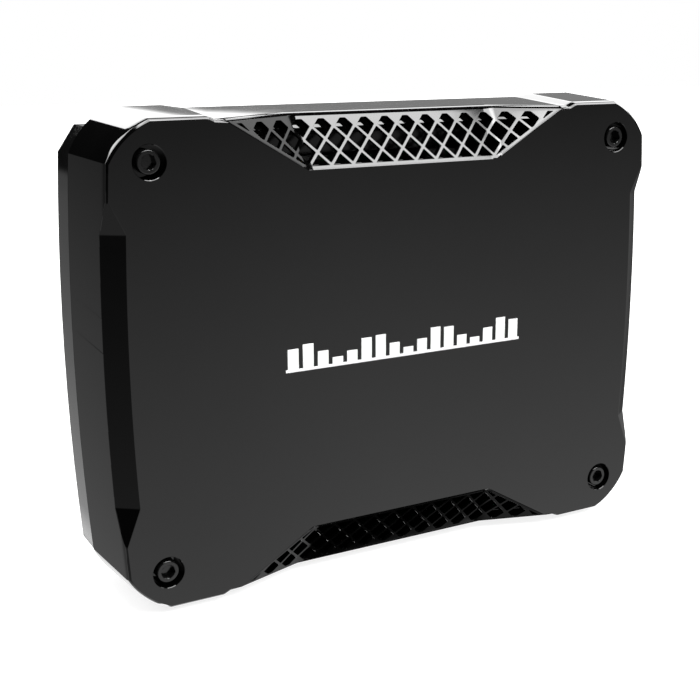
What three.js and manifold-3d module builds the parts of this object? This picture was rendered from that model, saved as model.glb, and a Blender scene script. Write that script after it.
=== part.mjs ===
// Compact four-channel car amplifier: a drafted front cover with two mesh grilles, closed by a
// cast chassis base, with every terminal on the right-hand end panel.
// Millimetres, +X right, +Y back, +Z up. The origin is the centre of the back mounting face.
import * as THREE from 'three';
import { mergeVertices } from 'three/addons/utils/BufferGeometryUtils.js';
import Module from 'manifold-3d';

const wasm = await Module();
wasm.setup();

// ---- driving dimensions -------------------------------------------------------------------
const DEPTH = 42; // front face to mounting face
const COVER_DEPTH = 30; // how far the front cover reaches back
const SEAM = 0.3; // clearance between neighbouring pieces
const EDGE_BEVEL = 0.8;
const SIDE_RADIUS = 904; // the two ends are shallow barrels
const CORNER_RADIUS = 24.3;
const FLOOR = 3; // thickness of the chassis floor
const WALL = 2.6;

// half outlines of the cover: at the face, behind its bevelled edge, and at its back rim
const FACE = {
  end: 97.75, cornerZ: 62, cornerX: 83.1, blockZ: 73.4, blockX: 65.9, bandX: 63.7, bandZ: 72.35,
};
const EDGE = {
  end: 98.65, cornerZ: 62.3, cornerX: 83.4, blockZ: 74.3, blockX: 65.7, bandX: 63.4, bandZ: 73.25,
};
const RIM = {
  end: 100.55, cornerZ: 63, cornerX: 85.5, blockZ: 76.1, blockX: 69, bandX: 62.8, bandZ: 75.15,
};

const SCOOP = { inner: 92.7, radius: 850, depth: 4.5, top: 42.2, bottom: -39.8, apex: 53.4, stations: 8 };
const VENT = { frontZ: 57.3, creaseZ: 73.68, creaseDepth: 8.8, frontX: 34.3, creaseX: 36.3, apexX: 61.3 };
const VENT_REACH = [-1, 16]; // depths that take in the whole vent
const MESH = {
  pitch: 7.47, rib: 0.85, rows: 4, columns: 9, firstZ: 58.4, lowZ: 58.3, highZ: 71.8, margin: 0.9,
};
const GRILLE = { rim: 0.5, thickness: 1.8, endTrim: 57 }; // past endTrim the vent's tips are cover
const LEDGE = { low: 0.9, high: 4.4, thickness: 1.6 }; // how far it stands in below and above the grille

const SCREW = { x: 83.8, z: 62.1, headRadius: 3.55, headHeight: 4, sink: 0.6, shank: 2, length: 31 };
const COUNTERBORE_RADIUS = 5;
const HEX = { acrossCorners: 4.8, depth: 2.2 };
const HOLE_RADIUS = 2.3;
const POST_RADIUS = 7;
const POST_MEET = 27; // depth at which the cover posts meet the base posts

const BASE = { end: 100.55, cornerZ: 62.6, facetX: 92.9, edgeZ: 70.6 };
const RAIL = { halfLength: 60, innerZ: 60, outerZ: 66, top: 22 };
const BRACKET_HOLE = { x: 75, z: 50, radius: 1.65, depth: 6, bossRadius: 4 };

const PANEL = { halfZ: 53, outerX: 95.7, thickness: 2, front: 8, back: 38.5 };
const BOARD = { front: 33.4, back: 35, halfX: 91, halfZ: 58, notchX: 74, notchZ: 52 };
const SEAT = BOARD.front - SEAM; // depth on which board-mounted parts stand

const RCA = {
  z: [32.5, 45.5], depths: [14.3, 27.3], barrel: 4.15, wall: 0.9, lip: 1.2, bore: 1.6, well: 8,
  start: 90.4, tip: 100,
};
const RCA_BLOCK = { x: [77, 92.6], front: 8.4, z: [25.6, 52], seat: 90 };
const KNOB = {
  z: [19.5, 10, 0.5, -9], depth: 26.5, radius: 3, shaftRadius: 1.6, bevel: 0.4,
  shaft: 92.8, skirt: 94, tip: 97.4,
};
const POTENTIOMETER = { half: 4.5, outer: 92.5 };
const SWITCH = {
  z: [17, 4], depth: 14.5, travel: 2, halfStem: 1.5, halfWidth: 1.3, stem: [91.7, 97], outer: 91.4,
};
const LED = { z: -5, depth: 14.5, radius: 1.5, shoulder: 95.9 };
const BLOCK_FACE = 96.4; // the terminal blocks stand slightly proud of the panel
const SPEAKER = {
  ways: 8, pitch: 5.08, topZ: -9.6, margin: 0.6, depth: [9.8, 20.4], inner: 76.6, foot: [73, 76.7],
  wire: { from: 86, depth: [15.4, 19], half: 1.7 },
  screw: { well: 88, depth: 12.4, clearance: 1.9, x: [88.3, 95.6], radius: 1.6 },
};
const POWER = {
  ways: 3, pitch: 8.8, topZ: -25.4, margin: 0.4, depth: [21.2, SEAT], inner: 80,
  wire: { from: 85, depth: [26.6, 32], half: 2.9 },
  screw: { well: 87, depth: 23.7, clearance: 2.1, x: [87.3, 95.6], radius: 1.8 },
};
const FUSE = {
  z: -19.8, x: [88.4, 98], front: 21.9, back: 32.8, halfThickness: 1.8,
  blades: [24.2, 30.5], bladeHalfWidth: 1.4, bladeHalfThickness: 0.35, bladeTip: 80, bridge: [92.6, 94.4],
};
const FUSE_HOLDER = { x: [78, 92.6], rim: 0.9, halfHeight: 3.6, mouth: 88, slotEnd: 79.5 };
const CONTROL_BOARD = { x: [84.6, 86.2], front: 9.5, back: SEAT, lowZ: -15, highZ: 24.8, notchDepth: 20.8 };

const EMBLEM = { left: -43.2, right: 45.1, low: -4.6, height: 8.6, line: 0.9, thickness: 0.2, bars: 17 };

// ---- solids -------------------------------------------------------------------------------
// Depths are measured back from the front face, so this turns one into a Y coordinate.
const yAt = (depth) => depth - DEPTH;

function solid(geometry) {
  const bare = geometry.clone();
  bare.deleteAttribute('normal');
  bare.deleteAttribute('uv');
  const merged = mergeVertices(bare, 1e-4);
  const vertProperties = new Float32Array(merged.attributes.position.array);
  const triVerts = new Uint32Array(merged.index.array);
  if (signedVolume(vertProperties, triVerts) < 0) {
    flip(triVerts);
  }
  return new wasm.Manifold(new wasm.Mesh({ numProp: 3, vertProperties, triVerts }));
}

function signedVolume(points, triangles) {
  const corner = (i) => new THREE.Vector3().fromArray(points, 3 * i);
  let total = 0;
  for (let t = 0; t < triangles.length; t += 3) {
    const cross = corner(triangles[t + 1]).cross(corner(triangles[t + 2]));
    total += corner(triangles[t]).dot(cross) / 6;
  }
  return total;
}

function flip(triangles) {
  for (let t = 0; t < triangles.length; t += 3) {
    const second = triangles[t + 1];
    triangles[t + 1] = triangles[t + 2];
    triangles[t + 2] = second;
  }
}

function geometryOf(body) {
  const mesh = body.getMesh();
  const geometry = new THREE.BufferGeometry();
  geometry.setAttribute('position', new THREE.BufferAttribute(new Float32Array(mesh.vertProperties), 3));
  geometry.setIndex(new THREE.BufferAttribute(new Uint32Array(mesh.triVerts), 1));
  geometry.computeVertexNormals();
  return geometry;
}

const join = (bodies) => bodies.reduce((sum, body) => sum.add(body));

function block(x, depth, z) {
  const size = [x[1] - x[0], depth[1] - depth[0], z[1] - z[0]];
  const centre = [(x[0] + x[1]) / 2, yAt((depth[0] + depth[1]) / 2), (z[0] + z[1]) / 2];
  return solid(new THREE.BoxGeometry(...size).translate(...centre));
}

// A round bar along Y, between two depths.
function barY(x, z, radius, depth, sides = 32) {
  const length = depth[1] - depth[0];
  const middle = yAt((depth[0] + depth[1]) / 2);
  return solid(new THREE.CylinderGeometry(radius, radius, length, sides).translate(x, middle, z));
}

// A round bar along X.
function barX(x, depth, z, radius, sides = 20) {
  const bar = new THREE.CylinderGeometry(radius, radius, x[1] - x[0], sides).rotateZ(-Math.PI / 2);
  return solid(bar.translate((x[0] + x[1]) / 2, yAt(depth), z));
}

// A round body about a line along X, from (x, radius) pairs that start and end on the line.
function turnedX(profile, depth, z, sides = 20) {
  const points = profile.map(([x, radius]) => new THREE.Vector2(radius, x));
  const body = new THREE.LatheGeometry(points, sides).rotateZ(-Math.PI / 2);
  return solid(body.translate(0, yAt(depth), z));
}

// A prism along Y: an outline in X and Z, between two depths.
function prismY(outline, depth) {
  const shape = new THREE.Shape(outline.map(([x, z]) => new THREE.Vector2(x, z)));
  const options = { depth: depth[1] - depth[0], bevelEnabled: false };
  const prism = new THREE.ExtrudeGeometry(shape, options).rotateX(Math.PI / 2);
  return solid(prism.translate(0, yAt(depth[1]), 0));
}

// A body through rings of points. All rings have the same number of points, and the plan
// gives the first ring's points as 2-D ones, which close the two ends.
function loft(rings, plan) {
  const shape = new THREE.Shape(plan.map(([u, v]) => new THREE.Vector2(u, v)));
  const steps = rings.length - 1;
  const geometry = new THREE.ExtrudeGeometry(shape, { depth: steps, steps, bevelEnabled: false });
  const position = geometry.attributes.position;
  for (let i = 0; i < position.count; i += 1) {
    const gap = ([u, v]) => Math.hypot(u - position.getX(i), v - position.getY(i));
    const nearest = plan.reduce((best, point, k) => (gap(point) < gap(plan[best]) ? k : best), 0);
    position.setXYZ(i, ...rings[Math.round(position.getZ(i))][nearest]);
  }
  return solid(geometry);
}

// Everything on one side of a plane: a very large box that stands on the plane.
function halfSpace(point, normal) {
  const reach = 400;
  const turn = new THREE.Quaternion().setFromUnitVectors(new THREE.Vector3(0, 0, 1), normal);
  const box = new THREE.BoxGeometry(reach, reach, reach).translate(0, 0, reach / 2);
  return solid(box.applyQuaternion(turn).translate(point.x, point.y, point.z));
}

// ---- the front cover ----------------------------------------------------------------------
const barrel = (end, z) => end - (z * z) / (2 * SIDE_RADIUS);

// Points on a shallow arc between two corners, bulging outwards, without its first point.
function arc(start, end, radius, segments) {
  const from = new THREE.Vector2(...start);
  const to = new THREE.Vector2(...end);
  const chord = to.clone().sub(from);
  const half = Math.asin(chord.length() / 2 / radius);
  const inward = new THREE.Vector2(-chord.y, chord.x).normalize();
  const centre = from.clone().add(to).multiplyScalar(0.5);
  centre.addScaledVector(inward, radius * Math.cos(half));
  const points = [];
  for (let k = 1; k <= segments; k += 1) {
    const spun = from.clone().rotateAround(centre, (2 * half * k) / segments);
    points.push([spun.x, spun.y]);
  }
  return points;
}

// The whole outline from its upper right quarter, counter-clockwise from the middle of +X.
function mirrored(quarter) {
  const upperLeft = quarter.map(([x, z]) => [-x, z]).reverse();
  const upper = [...quarter, ...upperLeft];
  const lower = upper.slice(1, -1).map(([x, z]) => [x, -z]).reverse();
  return [...upper, ...lower];
}

function endCurve(end, cornerZ, segments = 5) {
  const points = [];
  for (let k = 0; k <= segments; k += 1) {
    const z = (cornerZ * k) / segments;
    points.push([barrel(end, z), z]);
  }
  return points;
}

function coverOutline({ end, cornerZ, cornerX, blockZ, blockX, bandX, bandZ }) {
  const side = endCurve(end, cornerZ);
  const corner = arc(side[side.length - 1], [cornerX, blockZ], CORNER_RADIUS, 4);
  return mirrored([...side, ...corner, [blockX, blockZ], [bandX, bandZ]]);
}

function sectionLoft(sections) {
  const rings = sections.map(({ outline, depth }) => outline.map(([x, z]) => [x, yAt(depth), z]));
  return loft(rings, sections[0].outline);
}

function coverShell() {
  return sectionLoft([
    { outline: coverOutline(FACE), depth: 0 },
    { outline: coverOutline(EDGE), depth: EDGE_BEVEL },
    { outline: coverOutline(RIM), depth: COVER_DEPTH },
  ]);
}

function cavityOutline(end, cornerZ, facetX, edgeZ) {
  return mirrored([...endCurve(end, cornerZ), [facetX, edgeZ]]);
}

function coverCavity() {
  return sectionLoft([
    { outline: cavityOutline(90.5, 56, 83, 66), depth: 3 },
    { outline: cavityOutline(94.6, 59, 87, 69.6), depth: 7 },
    { outline: cavityOutline(96.6, 60, 89, 69.6), depth: COVER_DEPTH + 1 },
  ]);
}

// The long chamfer let into each end, running out to a point above and below.
function scoopCutter() {
  const { top, bottom, apex, depth, stations } = SCOOP;
  const overrun = 0.3; // how far the cutter runs past its slope, as a share of the slope
  const outside = 6;
  const innerAt = (z) => SCOOP.inner - (z * z) / (2 * SCOOP.radius);
  const width = barrel(EDGE.end, top) - innerAt(top);
  const levels = [-apex];
  for (let k = 0; k <= stations; k += 1) {
    levels.push(bottom + ((top - bottom) * k) / stations);
  }
  const rings = [...levels, apex].map((z) => {
    const inner = Math.abs(z) === apex ? barrel(EDGE.end, z) : innerAt(z);
    const outer = inner + width;
    const over = width * overrun;
    return [
      [inner - over, yAt(-depth * overrun), z],
      [outer + over, yAt(depth * (1 + overrun)), z],
      [outer + outside, yAt(-depth), z],
    ];
  });
  const plan = rings[0].map(([x, y]) => [x, y]);
  return loft(rings, plan);
}

// The three facets of a vent: one wide slope and a triangle at each end, all set back by an
// offset. The body returned is everything in front of them.
function ventSpace(offset) {
  const creaseFront = new THREE.Vector3(VENT.frontX, yAt(0), VENT.frontZ);
  const creaseBack = new THREE.Vector3(VENT.creaseX, yAt(VENT.creaseDepth), VENT.creaseZ);
  const apex = new THREE.Vector3(VENT.apexX, yAt(0), EDGE.bandZ);
  const across = new THREE.Vector3(1, 0, 0);
  const crease = creaseBack.clone().sub(creaseFront);
  const middleNormal = crease.clone().cross(across).normalize();
  const endNormal = crease.clone().cross(apex.clone().sub(creaseFront)).normalize();
  const facets = [middleNormal, endNormal, endNormal.clone().multiply(new THREE.Vector3(-1, 1, 1))];
  const mirroredFront = creaseFront.clone().multiply(new THREE.Vector3(-1, 1, 1));
  const onPlane = [creaseFront, creaseFront, mirroredFront];
  const room = block([-80, 80], [-6, 24], [40, 90]);
  return facets.reduce((space, normal, i) => {
    const outward = normal.y < 0 ? normal : normal.clone().negate();
    const point = onPlane[i].clone().addScaledVector(outward, -offset);
    return space.intersect(halfSpace(point, outward));
  }, room);
}

// The vent's outline seen from the front, drawn in by a margin, and by more below and above.
function ventOutline(margin, below = 0, above = 0) {
  const slope = new THREE.Vector2(VENT.apexX - VENT.frontX, EDGE.bandZ - VENT.frontZ).normalize();
  const low = VENT.frontZ + margin + below;
  const high = VENT.creaseZ - margin - above;
  const edgeX = (z) => VENT.frontX + ((z - VENT.frontZ) * slope.x - margin) / slope.y;
  return [[-edgeX(low), low], [edgeX(low), low], [edgeX(high), high], [-edgeX(high), high]];
}

const upperAndLower = (body) => [body, body.mirror([0, 0, 1])];

function cutVent(cover) {
  const behind = GRILLE.thickness + SEAM;
  const backing = coverShell().intersect(ventSpace(behind + LEDGE.thickness));
  const pocket = prismY(ventOutline(GRILLE.rim), VENT_REACH).intersect(ventSpace(behind));
  const window = prismY(ventOutline(GRILLE.rim, LEDGE.low, LEDGE.high), [0, COVER_DEPTH]);
  const opening = join([ventSpace(0), pocket, window]);
  const backed = join([cover, ...upperAndLower(backing)]);
  return backed.subtract(join(upperAndLower(opening)));
}

const screwPlaces = [
  ['upper_left', -1, 1], ['upper_right', 1, 1], ['lower_left', -1, -1], ['lower_right', 1, -1],
];

function panelWindow() {
  const across = [80, 110]; // from well inside the end wall to well outside it
  const half = PANEL.halfZ + SEAM;
  return block(across, [PANEL.front - SEAM, PANEL.back + SEAM], [-half, half]);
}

function frontCover() {
  const atScrews = (make) => screwPlaces.map(([, sx, sz]) => make(sx * SCREW.x, sz * SCREW.z));
  const seat = SCREW.sink + SCREW.headHeight + SEAM;
  const posts = atScrews((x, z) => barY(x, z, POST_RADIUS, [2, POST_MEET]));
  const bores = atScrews((x, z) => barY(x, z, COUNTERBORE_RADIUS, [-1, seat]));
  const holes = atScrews((x, z) => barY(x, z, HOLE_RADIUS, [-1, COVER_DEPTH], 24));
  const scoop = scoopCutter();
  const cover = cutVent(join([coverShell().subtract(coverCavity()), ...posts]));
  return cover.subtract(join([...bores, ...holes, scoop, scoop.mirror([1, 0, 0]), panelWindow()]));
}

// ---- the grilles --------------------------------------------------------------------------
const MESH_REACH = [-2, 20];

// Square holes stood on their corners, in rows half a pitch apart, cut straight back.
function meshHoles() {
  const halfDiagonal = (MESH.pitch - MESH.rib * Math.SQRT2) / 2;
  const holes = [];
  for (let row = 0; row < MESH.rows; row += 1) {
    const z = MESH.firstZ + (row * MESH.pitch) / 2;
    for (let column = -MESH.columns; column <= MESH.columns; column += 1) {
      const x = (column + (row % 2) / 2) * MESH.pitch;
      const [left, right] = [x - halfDiagonal, x + halfDiagonal];
      const corners = [[right, z], [x, z + halfDiagonal], [left, z], [x, z - halfDiagonal]];
      holes.push(prismY(corners, MESH_REACH));
    }
  }
  return join(holes);
}

function meshField() {
  const [, low, high] = ventOutline(MESH.margin);
  const slopeX = (z) => low[0] + ((z - low[1]) * (high[0] - low[0])) / (high[1] - low[1]);
  const { lowZ, highZ } = MESH;
  const right = [[slopeX(lowZ), lowZ], [slopeX(highZ), highZ]];
  const left = right.map(([x, z]) => [-x, z]).reverse();
  return prismY([...right, ...left], MESH_REACH);
}

function upperGrille() {
  const { rim, thickness, endTrim } = GRILLE;
  const trimmed = block([-endTrim, endTrim], VENT_REACH, [50, 80]);
  const body = prismY(ventOutline(rim + SEAM), VENT_REACH).intersect(ventSpace(thickness));
  const plate = body.subtract(ventSpace(0)).intersect(trimmed);
  return plate.subtract(meshHoles().intersect(meshField()));
}

// ---- the chassis base ---------------------------------------------------------------------
const FLOOR_TOP = DEPTH - FLOOR + 0.5; // posts and rails run a little way into the floor

function baseTray() {
  const top = COVER_DEPTH + SEAM;
  const { end, cornerZ, facetX, edgeZ } = BASE;
  const outline = cavityOutline(end, cornerZ, facetX, edgeZ);
  const inner = cavityOutline(end - WALL, cornerZ - 1, facetX - WALL, edgeZ - WALL);
  return prismY(outline, [top, DEPTH]).subtract(prismY(inner, [top - 1, DEPTH - FLOOR]));
}

function chassisBase() {
  const { halfLength, innerZ, outerZ } = RAIL;
  const rail = block([-halfLength, halfLength], [RAIL.top, FLOOR_TOP], [innerZ, outerZ]);
  const screwEnd = SCREW.sink + SCREW.headHeight + SCREW.length;
  const added = upperAndLower(rail);
  const holes = [];
  screwPlaces.forEach(([, sx, sz]) => {
    const [screwX, screwZ] = [sx * SCREW.x, sz * SCREW.z];
    const [holeX, holeZ] = [sx * BRACKET_HOLE.x, sz * BRACKET_HOLE.z];
    added.push(barY(screwX, screwZ, POST_RADIUS, [POST_MEET + SEAM, FLOOR_TOP]));
    added.push(barY(holeX, holeZ, BRACKET_HOLE.bossRadius, [BOARD.back + SEAM, FLOOR_TOP], 24));
    holes.push(barY(screwX, screwZ, HOLE_RADIUS, [POST_MEET, screwEnd + 1], 24));
    holes.push(barY(holeX, holeZ, BRACKET_HOLE.radius, [DEPTH - BRACKET_HOLE.depth, DEPTH + 1], 20));
  });
  return join([baseTray(), ...added]).subtract(join([...holes, panelWindow()]));
}

// ---- fasteners and emblem -----------------------------------------------------------------
function coverScrew(sx, sz) {
  const x = sx * SCREW.x;
  const z = sz * SCREW.z;
  const under = SCREW.sink + SCREW.headHeight;
  const head = barY(x, z, SCREW.headRadius, [SCREW.sink, under], 28);
  const shank = barY(x, z, SCREW.shank, [under - 0.2, under + SCREW.length], 14);
  const radius = HEX.acrossCorners / 2;
  const socket = new THREE.CylinderGeometry(radius, radius, 2 * HEX.depth, 6);
  return head.add(shank).subtract(solid(socket.translate(x, yAt(SCREW.sink), z)));
}

// A row of level bars on a common line, with heights that rise and fall like a meter's.
function emblem() {
  const { left, right, low, height, line, thickness, bars } = EMBLEM;
  const pitch = (right - left) / bars;
  const barWidth = pitch * 0.72;
  const lowest = 0.34; // the shortest bar, as a share of the tallest
  const front = [-thickness, 0];
  const parts = [block([left, right], front, [low, low + line])];
  for (let k = 0; k < bars; k += 1) {
    const wave = 0.5 + 0.5 * Math.sin(k * 1.3 + 0.6);
    const start = left + k * pitch + (pitch - barWidth) / 2;
    const top = low + height * (lowest + (1 - lowest) * wave);
    parts.push(block([start, start + barWidth], front, [low + line / 2, top]));
  }
  return join(parts);
}

// ---- end panel and what it carries --------------------------------------------------------
const wayZ = ({ topZ, pitch }, way) => topZ - pitch * (way + 0.5);
const blockZ = ({ topZ, pitch, ways, margin }) => [topZ - ways * pitch - margin, topZ + margin];
const around = (centre, half) => [centre - half, centre + half];
const grown = ([low, high]) => [low - SEAM, high + SEAM];

function rcaPlaces() {
  return RCA.z.flatMap((z) => RCA.depths.map((depth) => [depth, z]));
}

function connectorPanel() {
  const inner = PANEL.outerX - PANEL.thickness;
  const through = [inner - 1, PANEL.outerX + 1];
  const plate = block([inner, PANEL.outerX], [PANEL.front, PANEL.back], around(0, PANEL.halfZ));
  const play = 0.4; // round the parts that move
  const cuts = [
    block(through, grown(SPEAKER.depth), grown(blockZ(SPEAKER))),
    block(through, grown(POWER.depth), grown(blockZ(POWER))),
    block(through, grown([FUSE.front, FUSE.back]), grown(around(FUSE.z, FUSE.halfThickness))),
    barX(through, LED.depth, LED.z, LED.radius + SEAM, 14),
    ...rcaPlaces().map(([depth, z]) => barX(through, depth, z, RCA.barrel + 2 * SEAM)),
    ...KNOB.z.map((z) => barX(through, KNOB.depth, z, KNOB.radius + play)),
    ...SWITCH.z.map((z) => {
      const half = SWITCH.halfStem + SWITCH.travel + play;
      return block(through, around(SWITCH.depth, SWITCH.halfWidth + play), around(z, half));
    }),
  ];
  return plate.subtract(join(cuts));
}

function rcaBlock() {
  const body = block(RCA_BLOCK.x, [RCA_BLOCK.front, SEAT], RCA_BLOCK.z);
  const reach = [RCA_BLOCK.seat, RCA_BLOCK.x[1] + 1];
  const seats = rcaPlaces().map(([depth, z]) => barX(reach, depth, z, RCA.barrel + SEAM));
  return body.subtract(join(seats));
}

// One jack: a plated barrel round an insulator, with the centre contact's hole down its axis.
function rcaSocket(depth, z) {
  const { start, tip, barrel: outer, wall, lip, bore, well } = RCA;
  const bevel = 0.5;
  return turnedX([
    [start, 0], [start, outer], [tip - bevel, outer], [tip, outer - bevel],
    [tip, outer - wall], [tip - lip, outer - wall],
    [tip - lip, bore], [tip - well, bore], [tip - well, 0],
  ], depth, z);
}

// For each way, the hole that a wire enters and the well that its clamp screw stands in.
function wayCuts(terminal) {
  const { wire, screw, ways } = terminal;
  const cuts = [];
  for (let way = 0; way < ways; way += 1) {
    const middle = wayZ(terminal, way);
    cuts.push(block([wire.from, BLOCK_FACE + 1], wire.depth, around(middle, wire.half)));
    cuts.push(barX([screw.well, BLOCK_FACE + 1], screw.depth, middle, screw.clearance));
  }
  return join(cuts);
}

function speakerBlock() {
  const z = blockZ(SPEAKER);
  const head = block([SPEAKER.inner, BLOCK_FACE], SPEAKER.depth, z);
  const foot = block(SPEAKER.foot, [SPEAKER.depth[0], SEAT], z);
  return head.add(foot).subtract(wayCuts(SPEAKER));
}

function powerBlock() {
  return block([POWER.inner, BLOCK_FACE], POWER.depth, blockZ(POWER)).subtract(wayCuts(POWER));
}

function clampScrew(terminal, way) {
  const { x, depth, radius } = terminal.screw;
  const z = wayZ(terminal, way);
  const slotDepth = 0.8;
  const slot = block([x[1] - slotDepth, x[1] + 1], around(depth, 0.35), around(z, radius + 1));
  return barX(x, depth, z, radius, 16).subtract(slot);
}

const bladeSlot = () => around(FUSE.z, 2 * FUSE.bladeHalfThickness);

function fuseHolder() {
  const { x, rim, halfHeight, mouth, slotEnd } = FUSE_HOLDER;
  const past = x[1] + 1;
  const body = block(x, [FUSE.front - rim, SEAT], around(FUSE.z, halfHeight));
  const room = around(FUSE.z, FUSE.halfThickness + SEAM);
  const slots = FUSE.blades.map((middle) => (
    block([slotEnd, past], around(middle, FUSE.bladeHalfWidth + SEAM), bladeSlot())));
  return body.subtract(join([block([mouth, past], [FUSE.front - SEAM, SEAT + 1], room), ...slots]));
}

function fuseHousing() {
  const { x, front, back, z, halfThickness } = FUSE;
  const body = block(x, [front, back], around(z, halfThickness));
  const grips = [-1, 1].map((side) => (
    block([x[0] + 2.6, x[1] - 2], [front + 2.1, back - 2.1], around(z + side * halfThickness, 0.4))));
  const pocket = block([x[0] - 1, x[1] - 3], [front + 0.2, back - 0.2], bladeSlot());
  return body.subtract(join([...grips, pocket]));
}

function fuseElement() {
  const { blades, bladeTip, bridge, bladeHalfWidth, bladeHalfThickness } = FUSE;
  const thin = around(FUSE.z, bladeHalfThickness);
  const legs = blades.map((middle) => block([bladeTip, bridge[1]], around(middle, bladeHalfWidth), thin));
  return join([...legs, block(bridge, blades, thin)]);
}

const ON_CONTROL_BOARD = CONTROL_BOARD.x[1] + SEAM; // where parts on that board begin

function knob(z) {
  const { shaft, skirt, tip, radius, shaftRadius, bevel, depth } = KNOB;
  const body = turnedX([
    [shaft, 0], [shaft, shaftRadius], [skirt, shaftRadius], [skirt, radius], [tip - bevel, radius],
    [tip, radius - bevel], [tip, 0],
  ], depth, z);
  const pointer = block([tip - 0.9, tip + 1], [depth - radius - 1, depth], around(z, 0.4));
  return body.subtract(pointer);
}

function potentiometer(z) {
  const { half, outer } = POTENTIOMETER;
  return block([ON_CONTROL_BOARD, outer], around(KNOB.depth, half), around(z, half));
}

function switchBody(z) {
  return block([ON_CONTROL_BOARD, SWITCH.outer], around(SWITCH.depth, 2.8), around(z, 5.2));
}

function switchSlider(z) {
  const { stem, depth, halfWidth, halfStem } = SWITCH;
  const groove = block([stem[1] - 0.6, stem[1] + 1], around(depth, halfWidth + 1), around(z, 0.3));
  return block(stem, around(depth, halfWidth), around(z, halfStem)).subtract(groove);
}

function powerLed() {
  const { radius, depth, z, shoulder } = LED;
  return turnedX([
    [ON_CONTROL_BOARD, 0], [ON_CONTROL_BOARD, radius], [shoulder, radius],
    [shoulder + 0.7, radius * 0.78], [shoulder + 1.1, radius * 0.4], [shoulder + 1.2, 0],
  ], depth, z, 16);
}

// ---- electronics --------------------------------------------------------------------------
function mainBoard() {
  const { halfX, halfZ, notchX, notchZ, front, back } = BOARD;
  const outline = mirrored([[halfX, 0], [halfX, notchZ], [notchX, notchZ], [notchX, halfZ]]);
  return prismY(outline, [front, back]);
}

// It stands behind the end panel, and is cut away where the speaker terminals pass it.
function controlBoard() {
  const { x, front, back, lowZ, highZ, notchDepth } = CONTROL_BOARD;
  const speakerTop = blockZ(SPEAKER)[1] + SEAM;
  const whole = block(x, [front, back], [speakerTop, highZ]);
  return whole.add(block(x, [notchDepth, back], [lowZ, speakerTop + 1]));
}

const TOROID = { x: -34, z: 22, inner: 8, outer: 16, height: 12, wire: 1.8, opening: 5 };

function ringY(inner, outer, depth) {
  const { x, z } = TOROID;
  return barY(x, z, outer, depth, 32).subtract(barY(x, z, inner, [depth[0] - 1, depth[1] + 1], 24));
}

function toroidCore() {
  const back = SEAT - TOROID.wire - SEAM;
  return ringY(TOROID.inner, TOROID.outer, [back - TOROID.height, back]);
}

function toroidWinding() {
  const { x, z, inner, outer, height, wire } = TOROID;
  const back = SEAT - wire - SEAM;
  const front = back - height - SEAM;
  const copper = ringY(inner - SEAM - wire, outer + SEAM + wire, [front - wire, SEAT]);
  const room = ringY(inner - SEAM, outer + SEAM, [front, back + SEAM]);
  const opening = block([x, x + 2 * outer], [0, DEPTH], around(z, TOROID.opening));
  return copper.subtract(room).subtract(opening);
}

const CAPACITOR = { places: [[6, 34], [6, 12], [28, 34]], radius: 8, top: 9.5, groove: [29.6, 30.4] };
const CHOKE = { places: [[-36, -26], [-4, -26]], radius: 9.5, waist: 8, top: 18, flange: 2.5 };
const TRANSISTOR = {
  places: [-24, 24], halfWidth: 5.1, tabTop: 17.4, bodyTop: 23.6, tabZ: 58.3, bodyZ: 55.3,
};
const CLAMP_BAR = { x: [-44, 44], depth: [25.4, 29.4], z: [52.6, 55] };

// A round body with a band of its outside turned down to a smaller radius.
function waistedY(x, z, radius, waist, depth, band) {
  const sides = 20;
  const kept = barY(x, z, waist, [band[0] - 1, band[1] + 1], sides);
  const groove = barY(x, z, radius + 1, band, sides).subtract(kept);
  return barY(x, z, radius, depth, sides).subtract(groove);
}

function capacitor([x, z]) {
  const { radius, top, groove } = CAPACITOR;
  return waistedY(x, z, radius, radius - 0.5, [top, SEAT], groove);
}

function choke([x, z]) {
  const { radius, waist, top, flange } = CHOKE;
  return waistedY(x, z, radius, waist, [top, SEAT], [top + flange, SEAT - flange]);
}

function transistor(x) {
  const { halfWidth, tabTop, bodyTop, tabZ, bodyZ } = TRANSISTOR;
  const across = around(x, halfWidth);
  const tab = block(across, [tabTop, SEAT], [tabZ, RAIL.innerZ - SEAM]);
  const body = block(across, [bodyTop, SEAT], [bodyZ, tabZ + 0.1]);
  const hole = new THREE.CylinderGeometry(1.8, 1.8, 6, 20).rotateX(Math.PI / 2);
  return tab.add(body).subtract(solid(hole.translate(x, yAt(tabTop + 3), tabZ)));
}

// ---- materials ----------------------------------------------------------------------------
const finish = (color, roughness, metalness) => ({ color, roughness, metalness });
const FINISHES = {
  satinBlack: finish(0x1d1d1f, 0.34, 0),
  glossBlack: finish(0x161618, 0.2, 0),
  chassis: finish(0x2a2a2d, 0.38, 0.6),
  print: finish(0xf4f4f2, 0.5, 0),
  blackSteel: finish(0x17171a, 0.3, 0.9),
  panel: finish(0x1a1a1c, 0.45, 0),
  nickel: finish(0xc9c8c2, 0.22, 1),
  terminal: finish(0x24262a, 0.5, 0),
  zinc: finish(0xb9bcc0, 0.3, 1),
  fuse: finish(0xc4302b, 0.3, 0),
  led: finish(0x9fd6ff, 0.15, 0),
  board: finish(0x1e5b3a, 0.5, 0),
  ferrite: finish(0x3a3a3c, 0.7, 0),
  copper: finish(0xb5652d, 0.3, 1),
  aluminium: finish(0xb9bcc2, 0.35, 1),
};

const amplifier = new THREE.Group();

function place(name, body, look) {
  const mesh = new THREE.Mesh(geometryOf(body), new THREE.MeshStandardMaterial(FINISHES[look]));
  mesh.name = name;
  amplifier.add(mesh);
}

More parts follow.
